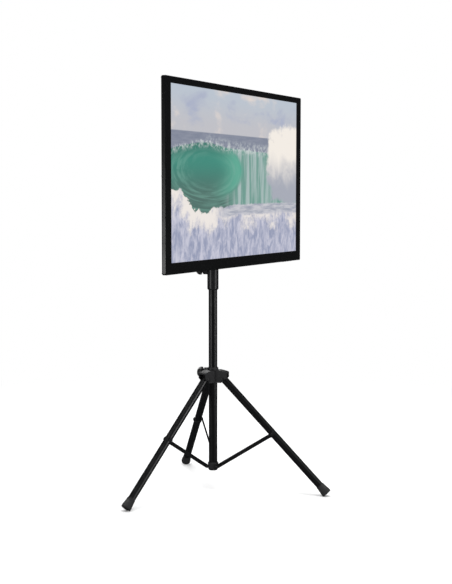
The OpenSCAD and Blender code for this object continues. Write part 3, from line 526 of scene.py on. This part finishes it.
def make_materials():
    black_rub = (0.040, 0.040, 0.042)
    return {
        "powder_black": finish("powder_black", (0.0030, 0.0030, 0.0035), 0.33, grain_size=1.1 * MM,
                               relief=0.16, depth=0.08 * MM, rub=0.12, rub_colour=(0.02, 0.02, 0.021),
                               dust=0.04),
        "moulded_black": finish("moulded_black", (0.012, 0.012, 0.0137), 0.50, grain="Pebble",
                                grain_size=0.7 * MM, relief=0.35, depth=0.08 * MM, rub=0.22,
                                rub_colour=black_rub, dust=0.08),
        "satin_black": finish("satin_black", (0.008, 0.008, 0.009), 0.36, grain="Pebble",
                              grain_size=0.5 * MM, relief=0.2, depth=0.05 * MM, rub=0.18,
                              rub_colour=black_rub, dust=0.05),
        "black_zinc": finish("black_zinc", (0.05, 0.05, 0.052), 0.38, metallic=0.85, grain_size=0.8 * MM,
                             rub=0.5, rub_colour=(0.35, 0.35, 0.36), dust=0.08),
        "bright_zinc": finish("bright_zinc", (0.62, 0.63, 0.65), 0.30, metallic=1.0, grain="Brushed",
                              grain_size=0.4 * MM, relief=0.2, rub_colour=(0.5, 0.5, 0.5)),
        "nylon": finish("nylon", (0.03, 0.03, 0.03), 0.5, grain="Pebble", grain_size=0.6 * MM),
        "knob_black": finish("knob_black", (0.012, 0.012, 0.013), 0.46, grain="Pebble",
                             grain_size=0.6 * MM, relief=0.3, depth=0.06 * MM, rub=0.3,
                             rub_colour=black_rub, dust=0.08),
        "foot_rubber": finish("foot_rubber", (0.016, 0.016, 0.0172), 0.72, grain="Pebble",
                              grain_size=0.9 * MM, relief=0.45, depth=0.1 * MM, rub=0.35,
                              rub_colour=(0.05, 0.048, 0.045), dust=0.14, specular=0.35),
        "bezel_black": finish("bezel_black", (0.0022, 0.0022, 0.0025), 0.32, grain="Orange Peel",
                              grain_size=0.8 * MM, relief=0.06, depth=0.04 * MM, rub=0.05,
                              rub_colour=(0.01, 0.01, 0.01), dust=0.02, specular=0.4),
        "cover_black": finish("cover_black", (0.010, 0.010, 0.0108), 0.58, grain="Pebble",
                              grain_size=1.0 * MM, relief=0.4, depth=0.1 * MM, rub=0.10,
                              rub_colour=(0.03, 0.03, 0.03), dust=0.06),
        "screen": make_screen(),
        "acrylic": finish("acrylic", (0.80, 0.83, 0.86), 0.15, rub_colour=(0.7, 0.7, 0.7)),
        "led_white": finish("led_white", (0.85, 0.84, 0.76), 0.4, rub_colour=(0.7, 0.7, 0.6)),
        "tray_steel": finish("tray_steel", (0.50, 0.51, 0.52), 0.42, metallic=0.9, grain="Brushed",
                             grain_size=1.5 * MM, rub_colour=(0.6, 0.6, 0.6)),
        "board_green": make_circuit("board_green", (0.015, 0.11, 0.05), (0.05, 0.22, 0.09)),
        "board_tan": make_circuit("board_tan", (0.42, 0.30, 0.15), (0.55, 0.42, 0.24)),
        "speaker_black": finish("speaker_black", (0.015, 0.015, 0.015), 0.6, grain="Pebble"),
        "jack_grey": finish("jack_grey", (0.05, 0.05, 0.052), 0.5, grain="Pebble", dust=0.08),
        "jack_black": finish("jack_black", (0.008, 0.008, 0.008), 0.35, dust=0.08),
        "key_grey": finish("key_grey", (0.022, 0.022, 0.023), 0.4, grain="Pebble", grain_size=0.5 * MM,
                           dust=0.05),
    }


# ---------------------------------------------------------------- mesh building blocks

def mesh_object(name, points, faces):
    mesh = bpy.data.meshes.new(name)
    mesh.from_pydata([tuple(p) for p in points], [], faces)
    return new_object(name, mesh)


def shade(thing, angle=35.0):
    """Smooth shading that keeps edges sharper than angle."""
    thing.data.shade_smooth()
    thing.data.set_sharp_from_angle(angle=math.radians(angle))
    return thing


def bake(thing):
    """Turns a piece and its modifiers into one plain mesh."""
    bpy.context.view_layer.update()
    graph = bpy.context.evaluated_depsgraph_get()
    mesh = bpy.data.meshes.new_from_object(thing.evaluated_get(graph), depsgraph=graph)
    thing.modifiers.clear()
    thing.data = mesh
    return thing


def fillet(corners, steps):
    """A profile with rounded corners; corners are (radius, height, fillet)."""
    rounded = []
    count = len(corners)
    for i, (r, z, size) in enumerate(corners):
        here = Vector((r, z))
        if size <= 0 or i in (0, count - 1):
            rounded.append(here)
            continue
        before = Vector(corners[i - 1][:2]) - here
        after = Vector(corners[i + 1][:2]) - here
        half = before.angle(after) / 2
        reach = min(size / math.tan(half), 0.49 * before.length, 0.49 * after.length)
        start, end = here + before.normalized() * reach, here + after.normalized() * reach
        for s in range(steps + 1):
            t = s / steps
            rounded.append((1 - t) ** 2 * start + 2 * t * (1 - t) * here + t ** 2 * end)
    return rounded


def ring_points(radius, height, segments):
    turns = [2 * math.pi * i / segments for i in range(segments)]
    return [(radius * math.cos(a), radius * math.sin(a), height) for a in turns]


def revolve(name, profile, segments):
    """A closed solid of revolution about Z from a profile that starts and ends on the axis."""
    points, faces, rings = [], [], []
    for r, z in profile:
        if r < 1e-7:
            rings.append([len(points)])
            points.append((0, 0, z))
            continue
        rings.append(list(range(len(points), len(points) + segments)))
        points += ring_points(r, z, segments)
    for low, high in zip(rings, rings[1:]):
        for i in range(segments):
            j = (i + 1) % segments
            if len(low) == 1 and len(high) > 1:
                faces.append((low[0], high[j], high[i]))
            elif len(high) == 1 and len(low) > 1:
                faces.append((low[i], low[j], high[0]))
            elif len(low) > 1:
                faces.append((low[i], low[j], high[j], high[i]))
    return mesh_object(name, points, faces)


def tube_profile(bottom, top, outer, inner, rounding):
    """The closed ring profile of a tube with rounded rims."""
    return [(inner, bottom + rounding), (inner + rounding, bottom), (outer - rounding, bottom),
            (outer, bottom + rounding), (outer, top - rounding), (outer - rounding, top),
            (inner + rounding, top), (inner, top - rounding)]


def revolve_ring(name, profile, segments):
    """A closed solid of revolution about Z from a closed profile that stays off the axis."""
    points, faces = [], []
    count = len(profile)
    for r, z in profile:
        points += ring_points(r, z, segments)
    for p in range(count):
        q = (p + 1) % count
        for i in range(segments):
            j = (i + 1) % segments
            faces.append((p * segments + i, p * segments + j, q * segments + j, q * segments + i))
    return mesh_object(name, points, faces)


def axes_at(origin, along, side):
    """A matrix whose Z runs along a direction and whose X lies near side."""
    z = Vector(along).normalized()
    x = Vector(side)
    x = (x - z * x.dot(z)).normalized()
    return Matrix.Translation(origin) @ Matrix((x, z.cross(x), z)).transposed().to_4x4()


def finish_piece(piece, node, materials):
    """Gives a piece its finish and its body, and hides the CAD node that it stands for."""
    piece.data.materials.clear()
    piece.data.materials.append(materials[SLOTS[node]])
    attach(piece, BODY[node])
    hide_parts(node)


def merged_shell(mesh):
    """A mesh opened for editing, with the corners that share a place made one."""
    shell = bmesh.new()
    shell.from_mesh(mesh)
    bmesh.ops.remove_doubles(shell, verts=shell.verts, dist=2e-6)
    return shell


def cad_copy(node, whole):
    """A merged copy of a CAD node's mesh; with whole, its flat faces are joined into single ones."""
    mesh = NODES[node].data.copy()
    mesh.name = node + "_shape"
    shell = merged_shell(mesh)
    bmesh.ops.dissolve_degenerate(shell, edges=shell.edges, dist=1e-6)
    if whole:
        bmesh.ops.dissolve_limit(shell, angle_limit=math.radians(0.4), verts=shell.verts,
                                 edges=shell.edges)
    shell.to_mesh(mesh)
    shell.free()
    for name in ("custom_normal", "sharp_edge", "sharp_face"):
        if name in mesh.attributes:
            mesh.attributes.remove(mesh.attributes[name])
    return new_object(mesh.name, mesh)


def folded_area(thing):
    """How much more area the triangles of a mesh cover than its faces, which shows folded faces."""
    mesh = thing.data
    mesh.calc_loop_triangles()
    covered = [0.0] * len(mesh.polygons)
    for triangle in mesh.loop_triangles:
        covered[triangle.polygon_index] += triangle.area
    return sum(abs(area - face.area) for area, face in zip(covered, mesh.polygons))


def eased(node, width, segments, whole):
    """A copy of a CAD node with rounded edges."""
    thing = cad_copy(node, whole)
    thing.data.shade_smooth()
    bevel = thing.modifiers.new("edges", "BEVEL")
    bevel.width = width
    bevel.segments = segments
    bevel.limit_method = "ANGLE"
    bevel.angle_limit = math.radians(28)
    bevel.use_clamp_overlap = True
    bevel.harden_normals = True
    bevel.miter_outer = "MITER_ARC"
    return bake(thing)


def bevelled(node, materials, width, segments=2):
    """Stands in for a CAD node with the same shape and softly rounded edges.

    Flat faces with many holes fold over when they are joined into single ones, so both ways are
    tried and the cleaner one is kept.
    """
    joined, split = (eased(node, width, segments, whole) for whole in (True, False))
    best, other = (split, joined) if folded_area(split) < folded_area(joined) else (joined, split)
    bpy.data.objects.remove(other)
    best.name = node + "_shape"
    finish_piece(best, node, materials)


# ---------------------------------------------------------------- places read from the frame

def joint_place(name):
    joint = JOINTS[name]
    return Vector(joint["pos_m"]), Vector(joint["axis"]).normalized()


def leg_turn(k):
    """How far a leg turns over the whole travel of the hub, in radians."""
    return COUPLINGS[f"leg_{k}_fold"]["ratio"] * JOINTS["hub_slide"]["range_m"][1]


def leg_axes(k):
    """The frame of a leg: the pivot is the origin and -Z runs down the leg."""
    pivot, hinge = joint_place(f"leg_{k}_fold")
    open_way = Matrix.Rotation(-leg_turn(k), 3, hinge) @ Vector((0, 0, 1))
    return axes_at(pivot, open_way, hinge)


def corners_in(node, axes):
    """A node's corners in some axes."""
    inverse = axes.inverted()
    return [inverse @ v.co for v in NODES[node].data.vertices]


def reach_of(node, axes):
    """A node's lowest and highest point along Z of some axes, and its largest radius there."""
    local = corners_in(node, axes)
    heights = [p.z for p in local]
    return min(heights), max(heights), max(math.hypot(p.x, p.y) for p in local)


def moved(thing, axes):
    thing.data.transform(axes)
    return thing


# ---------------------------------------------------------------- geometry trees

def turned_shape(tree, radii, heights, segments, around_scale, handles="VECTOR"):
    """Turns a cylinder mesh into a lathe shape of unit radius and unit height.

    The rings of the cylinder take the radii and heights in order, and the last ring is closed
    by a fan. around_scale(angle, radius) gives the change of radius around the axis. Returns the
    mesh, its new x, y and z, and where each point was: its radius and its place from 0 to 1.
    """
    steps = len(radii) - 1
    curved = handles != "VECTOR"
    body = add(tree, "GeometryNodeMeshCylinder", {"fill_type": "TRIANGLE_FAN"}, Vertices=segments,
               Side_Segments=6 * steps if curved else steps, Fill_Segments=8 if curved else 1,
               Radius=1.0, Depth=1.0)
    split = tree.nodes.new("ShaderNodeSeparateXYZ")
    tree.links.new(tree.nodes.new("GeometryNodeInputPosition").outputs[0], split.inputs[0])
    x, y, z = split.outputs
    along = math_node(tree, "ADD", z, 0.5, clamp=True)
    radius, height = (
        profile_curve(tree, along, [(i / steps, v) for i, v in enumerate(values)], handles)
        for values in (radii, heights))
    scale = product(tree, radius, around_scale(math_node(tree, "ARCTAN2", y, x), radius))
    squares = math_node(tree, "ADD", product(tree, x, x), product(tree, y, y))
    centre = math_node(tree, "POWER", squares, 0.5)
    return body.outputs["Mesh"], product(tree, x, scale), product(tree, y, scale), height, centre, along


def set_shape(tree, mesh, x, y, z, diameter, length):
    """Moves a lathe shape's points to their places, at its real diameter and length."""
    half = product(tree, diameter, 0.5)
    place = add(tree, "ShaderNodeCombineXYZ", X=product(tree, x, half), Y=product(tree, y, half),
                Z=product(tree, z, length))
    return add(tree, "GeometryNodeSetPosition", Geometry=mesh, Position=place.outputs[0]).outputs[0]


def place_and_finish(tree, given, out, shape):
    """Puts the shape on every point of the input, with +Z along its "along", and names its finish."""
    along = add(tree, "GeometryNodeInputNamedAttribute", {"data_type": "FLOAT_VECTOR"}, Name="along")
    turn = add(tree, "FunctionNodeAlignRotationToVector", {"axis": "Z"},
               Vector=socket_of(along, "Attribute"))
    spread = add(tree, "GeometryNodeInstanceOnPoints", Points=given.outputs["Geometry"],
                 Instance=shape, Rotation=turn.outputs[0])
    real = add(tree, "GeometryNodeRealizeInstances", Geometry=spread.outputs[0])
    smooth = add(tree, "GeometryNodeSetShadeSmooth", Geometry=real.outputs[0])
    dress = add(tree, "GeometryNodeSetMaterial", Geometry=smooth.outputs[0],
                Material=given.outputs["Finish"])
    send(tree, out, Geometry=dress.outputs[0])


def make_knob_tree():
    """A domed clamp knob with lobes, on a round neck."""
    tree, given, out = new_tree(
        "clamp_knob", "GeometryNodeTree",
        [("Geometry", GEOMETRY, None), ("Diameter", FLOAT, 0.046), ("Length", FLOAT, 0.028),
         ("Lobes", FLOAT, 5.0), ("Lobe Depth", FLOAT, 0.17), ("Finish", MATERIAL, None)],
        [("Geometry", GEOMETRY)])

    def lobed(angle, radius):
        from_top = math_node(tree, "SUBTRACT", angle, math.pi / 2)
        phase = product(tree, from_top, given.outputs["Lobes"])
        wave = math_node(tree, "MULTIPLY_ADD", math_node(tree, "COSINE", phase), -0.5, 0.5)
        cut = product(tree, wave, given.outputs["Lobe Depth"], ramp_value(tree, radius, 0.45, 0.9))
        return math_node(tree, "SUBTRACT", 1.0, cut)

    radii = [0.40, 0.38, 0.38, 0.42, 0.80, 0.95, 0.995, 1.0, 0.985, 0.93, 0.83, 0.66, 0.46]
    heights = [0.0, 0.03, 0.12, 0.165, 0.175, 0.20, 0.26, 0.40, 0.54, 0.66, 0.77, 0.87, 0.935]
    mesh, x, y, z, centre, along = turned_shape(tree, radii, heights, 120, lobed, "AUTO_CLAMPED")
    inward = math_node(tree, "SUBTRACT", 1.0, product(tree, centre, centre))
    crown = product(tree, inward, math_node(tree, "GREATER_THAN", along, TOP_RING))
    z = math_node(tree, "MULTIPLY_ADD", crown, 0.062, z)
    shape = set_shape(tree, mesh, x, y, z, given.outputs["Diameter"], given.outputs["Length"])
    place_and_finish(tree, given, out, shape)
    return tree


def make_fastener_tree(name, radii, heights, crown=0.0, hexagon=None):
    """A fastener's head and its shank; hexagon is (smallest radius, largest radius) of its flats."""
    tree, given, out = new_tree(
        name, "GeometryNodeTree",
        [("Geometry", GEOMETRY, None), ("Head Diameter", FLOAT, 0.01), ("Head Height", FLOAT, 0.003),
         ("Shank Diameter", FLOAT, 0.005), ("Shank Length", FLOAT, 0.01), ("Finish", MATERIAL, None)],
        [("Geometry", GEOMETRY)])

    def flats(angle, radius):
        if not hexagon:
            return 1.0
        in_side = math_node(tree, "FLOORED_MODULO", angle, math.pi / 3)
        turn = math_node(tree, "SUBTRACT", in_side, math.pi / 6)
        corner = math_node(tree, "DIVIDE", math.cos(math.pi / 6), math_node(tree, "COSINE", turn))
        inside = product(tree, math_node(tree, "GREATER_THAN", radius, hexagon[0]),
                         math_node(tree, "LESS_THAN", radius, hexagon[1]))
        less = product(tree, math_node(tree, "SUBTRACT", corner, 1.0), inside)
        return math_node(tree, "ADD", less, 1.0)

    mesh, x, y, z, centre, along = turned_shape(tree, radii, heights, 48, flats)
    if crown:
        top = product(tree, math_node(tree, "SUBTRACT", 1.0, centre),
                      math_node(tree, "GREATER_THAN", along, TOP_RING))
        z = math_node(tree, "MULTIPLY_ADD", top, crown, z)
    head = set_shape(tree, mesh, x, y, z, given.outputs["Head Diameter"], given.outputs["Head Height"])
    length = given.outputs["Shank Length"]
    shank = add(tree, "GeometryNodeMeshCylinder", Vertices=32, Depth=length,
                Radius=product(tree, given.outputs["Shank Diameter"], 0.5))
    drop = add(tree, "ShaderNodeCombineXYZ", Z=product(tree, length, -0.5))
    lowered = add(tree, "GeometryNodeTransform", Geometry=shank.outputs["Mesh"],
                  Translation=drop.outputs[0])
    parts = tree.nodes.new("GeometryNodeJoinGeometry")
    tree.links.new(head, parts.inputs[0])
    tree.links.new(lowered.outputs[0], parts.inputs[0])
    place_and_finish(tree, given, out, parts.outputs[0])
    return tree


def points_object(name, places):
    """One vertex for each (place, direction), with the direction kept as the attribute "along"."""
    thing = mesh_object(name, [p for p, _ in places], [])
    along = thing.data.attributes.new("along", "FLOAT_VECTOR", "POINT")
    along.data.foreach_set("vector", [c for _, d in places for c in d])
    return thing


def grow(tree, name, places, sizes, material, angle):
    """Runs a tree on places with its inputs set by name, and keeps the result as a plain mesh."""
    thing = points_object(name, places)
    modifier = thing.modifiers.new(tree.name, "NODES")
    modifier.node_group = tree
    identifiers = {s.name: s.identifier for s in tree.interface.items_tree
                   if s.item_type == "SOCKET" and s.in_out == "INPUT"}
    for label, value in {**sizes, "Finish": material}.items():
        modifier[identifiers[label]] = value
    bake(thing)
    return shade(thing, angle)


# ---------------------------------------------------------------- the stand's pieces

def islands_of(node):
    """The corners of each separate solid of a CAD node."""
    shell = merged_shell(NODES[node].data)
    found, seen = [], set()
    for start in shell.verts:
        if start in seen:
            continue
        group, todo = [], [start]
        seen.add(start)
        while todo:
            vert = todo.pop()
            group.append(vert.co.copy())
            for edge in vert.link_edges:
                other = edge.other_vert(vert)
                if other not in seen:
                    seen.add(other)
                    todo.append(other)
        found.append(group)
    shell.free()
    return found


def measure_fastener(points, axis):
    """Reads a headed pin from its corners: the head's seat, its direction and its four sizes."""
    side = axis.orthogonal().normalized()
    middle = Vector()
    for direction in (side, axis.cross(side)):
        reach = [p.dot(direction) for p in points]
        middle += direction * ((max(reach) + min(reach)) / 2)
    heights = [p.dot(axis) for p in points]
    radii = [(p - middle - axis * h).length for p, h in zip(points, heights)]
    widest = max(radii)
    head = [h for h, r in zip(heights, radii) if r > HEAD_SHARE * widest]
    low, high = min(heights), max(heights)
    outward = high - max(head) < min(head) - low
    seat, tip = (min(head), low) if outward else (max(head), high)
    thin = min(r for h, r in zip(heights, radii) if abs(h - tip) < 0.1 * MM)
    return {"place": middle + axis * seat, "along": axis if outward else -axis,
            "head": (2 * widest, max(head) - min(head)),
            "shank": (2 * thin, max(abs(seat - tip), 0.5 * MM))}


def fasteners(node, axis_of, tree, materials, pick=None):
    """Grows the fasteners of a CAD node where its solids are; axis_of(points) gives their axis."""
    found = [measure_fastener(points, axis_of(points)) for points in islands_of(node)]
    found = [f for f in found if pick is None or pick(f)]
    first = found[0]
    sizes = {"Head Diameter": first["head"][0], "Head Height": first["head"][1],
             "Shank Diameter": first["shank"][0], "Shank Length": first["shank"][1]}
    return grow(tree, node + "_shape", [(f["place"], f["along"]) for f in found], sizes,
                materials[SLOTS[node]], 30)


def join(first, *others):
    """Joins meshes into the first one."""
    shell = bmesh.new()
    for thing in (first, *others):
        shell.from_mesh(thing.data)
    shell.to_mesh(first.data)
    shell.free()
    for thing in others:
        bpy.data.objects.remove(thing)
    return first


def make_knobs(materials):
    tree = make_knob_tree()
    for node in ("hub_knob", "top_knob", "head_knob", "tilt_knob"):
        pivot, axis = joint_place(node + "_turn")
        points = [v.co - pivot for v in NODES[node].data.vertices]
        heights = [p.dot(axis) for p in points]
        outward = axis if abs(max(heights)) > abs(min(heights)) else -axis
        heights = [p.dot(outward) for p in points]
        radius = max((p - outward * h).length for p, h in zip(points, heights))
        start, length = min(heights), max(heights) - min(heights)
        sizes = {"Diameter": 2 * radius, "Length": length, "Lobes": 5.0, "Lobe Depth": 0.17}
        knob = grow(tree, node + "_shape", [(pivot + outward * start, outward)], sizes,
                    materials[SLOTS[node]], 50)
        finish_piece(knob, node, materials)


def make_fasteners(materials):
    screw = make_fastener_tree(
        "socket_screw",
        [0.97, 1.0, 1.0, 0.96, 0.84, 0.62, 0.575, 0.55, 0.54],
        [0.0, 0.06, 0.55, 0.78, 0.93, 1.0, 0.98, 0.90, 0.42], hexagon=(0.0, 0.58))
    rivet = make_fastener_tree(
        "domed_rivet",
        [0.97, 1.0, 0.995, 0.96, 0.88, 0.74, 0.55, 0.30],
        [0.0, 0.08, 0.26, 0.46, 0.66, 0.83, 0.94, 0.985], crown=0.015)
    nut = make_fastener_tree(
        "lock_nut",
        [0.96, 1.0, 1.0, 0.97, 0.80, 0.62, 0.60, 0.60, 0.56],
        [0.0, 0.06, 0.78, 0.88, 1.0, 1.0, 0.99, 1.10, 1.12], hexagon=(0.79, 1.1))
    hinges = [joint_place(f"leg_{k}_fold") for k in LEGS]

    def front_to_back(points):
        return Vector((0, 1, 0))

    def left_to_right(points):
        return Vector((1, 0, 0))

    def nearest_hinge(points):
        middle = sum(points, Vector()) / len(points)
        return min(hinges, key=lambda hinge: (hinge[0] - middle).to_2d().length)[1]

    def is_bolt(fastener):
        return fastener["shank"][1] > 10 * MM

    def is_nut(fastener):
        return not is_bolt(fastener)

    for node, axis_of, tree in (("cover_screws", front_to_back, screw),
                                ("plate_screws", front_to_back, screw),
                                ("tilt_bolt", left_to_right, rivet),
                                *((f"brace_rivet_{k}", nearest_hinge, rivet) for k in LEGS),
                                ("brace_pins", nearest_hinge, rivet)):
        finish_piece(fasteners(node, axis_of, tree, materials), node, materials)
    node = "leg_pivot_bolts"
    bolts = fasteners(node, nearest_hinge, rivet, materials, is_bolt)
    nuts = fasteners(node, nearest_hinge, nut, materials, is_nut)
    finish_piece(shade(join(bolts, nuts), 30), node, materials)


def make_tubes(materials):
    """The mast, the pole and the legs, as smooth tubes with eased ends."""
    tubes = [(node, Matrix.Identity(4)) for node in ("mast_tube", "lift_pole")]
    tubes += [(f"leg_tube_{k}", leg_axes(k)) for k in LEGS]
    for node, axes in tubes:
        bottom, top, outer = reach_of(node, axes)
        inner = min(math.hypot(p.x, p.y) for p in corners_in(node, axes) if p.z > top - 0.1 * MM)
        profile = tube_profile(bottom, top, outer, inner, 0.4 * MM)
        pipe = moved(revolve_ring(node + "_shape", profile, 96), axes)
        finish_piece(shade(pipe), node, materials)


def cut_at_floor(thing):
    """Cuts a piece off flat at the floor and closes it."""
    shell = bmesh.new()
    shell.from_mesh(thing.data)
    whole = shell.verts[:] + shell.edges[:] + shell.faces[:]
    cut = bmesh.ops.bisect_plane(shell, geom=whole, plane_co=(0, 0, 0), plane_no=(0, 0, -1),
                                 clear_outer=True)
    rim = [e for e in cut["geom_cut"] if isinstance(e, bmesh.types.BMEdge)]
    bmesh.ops.triangle_fill(shell, edges=rim, use_beauty=True)
    bmesh.ops.recalc_face_normals(shell, faces=shell.faces)
    shell.to_mesh(thing.data)
    shell.free()


def make_feet(materials):
    """Rubber feet: a cone that swells to a rounded sole, with a moulded lip and a shallow tread."""
    for k in LEGS:
        node = f"rubber_foot_{k}"
        axes = leg_axes(k)
        bottom, top, widest = reach_of(node, axes)
        tube = reach_of(f"leg_tube_{k}", axes)[2]
        height = top - bottom
        groove, width = bottom + 0.8 * MM, 1.6 * MM
        tread = []
        for i in range(3):
            r = widest * (0.26 + 0.19 * i)
            tread += [(r, bottom, 0.2 * MM), (r, groove, 0.2 * MM),
                      (r + width, groove, 0.2 * MM), (r + width, bottom, 0.2 * MM)]
        profile = fillet(
            [(0, bottom, 0)] + tread +
            [(widest, bottom, 4.2 * MM), (widest, bottom + 0.25 * height, 5 * MM),
             (tube + 2.2 * MM, bottom + 0.74 * height, 6 * MM),
             (tube + 1.9 * MM, top - 4.2 * MM, 0.5 * MM), (tube + 1.3 * MM, top - 3.9 * MM, 0.3 * MM),
             (tube + 1.3 * MM, top - 3.4 * MM, 0.3 * MM), (tube + 1.7 * MM, top - 3.1 * MM, 0.4 * MM),
             (tube + 1.5 * MM, top, 0.8 * MM), (tube + 0.05 * MM, top, 0.3 * MM),
             (tube + 0.05 * MM, bottom + 12 * MM, 0), (0, bottom + 12 * MM, 0)], 5)
        foot = moved(revolve(node + "_shape", profile, 96), axes)
        cut_at_floor(foot)
        finish_piece(shade(foot, 40), node, materials)


def make_castings(materials):
    """Moulded, cast and pressed pieces, with the eased edges that each process leaves."""
    for node, width in (("leg_hub", 1.4), ("top_collar", 1.0), ("bottom_collar", 1.0),
                        ("head_socket", 0.7), ("tilt_bracket", 0.5), ("display_plate", 0.4),
                        ("front_bezel", 1.2), ("backlight_tray", 0.3), ("jack_panel", 0.4),
                        ("power_inlet", 0.5), ("rear_cover", 1.2)):
        bevelled(node, materials, width * MM, 3)
    for k in LEGS:
        bevelled(f"brace_{k}", materials, 0.6 * MM)
        bevelled(f"brace_saddle_{k}", materials, 0.5 * MM)
        bevelled(f"leg_insert_{k}", materials, 0.5 * MM)
    for name in ("power", "source", "up", "down"):
        bevelled("key_" + name, materials, 0.5 * MM, 3)


MATERIALS = make_materials()
make_camera()
make_studio()

for node, thing in NODES.items():
    thing.data.materials.clear()
    thing.data.materials.append(MATERIALS[SLOTS[node]])
make_castings(MATERIALS)
make_tubes(MATERIALS)
make_feet(MATERIALS)
make_knobs(MATERIALS)
make_fasteners(MATERIALS)
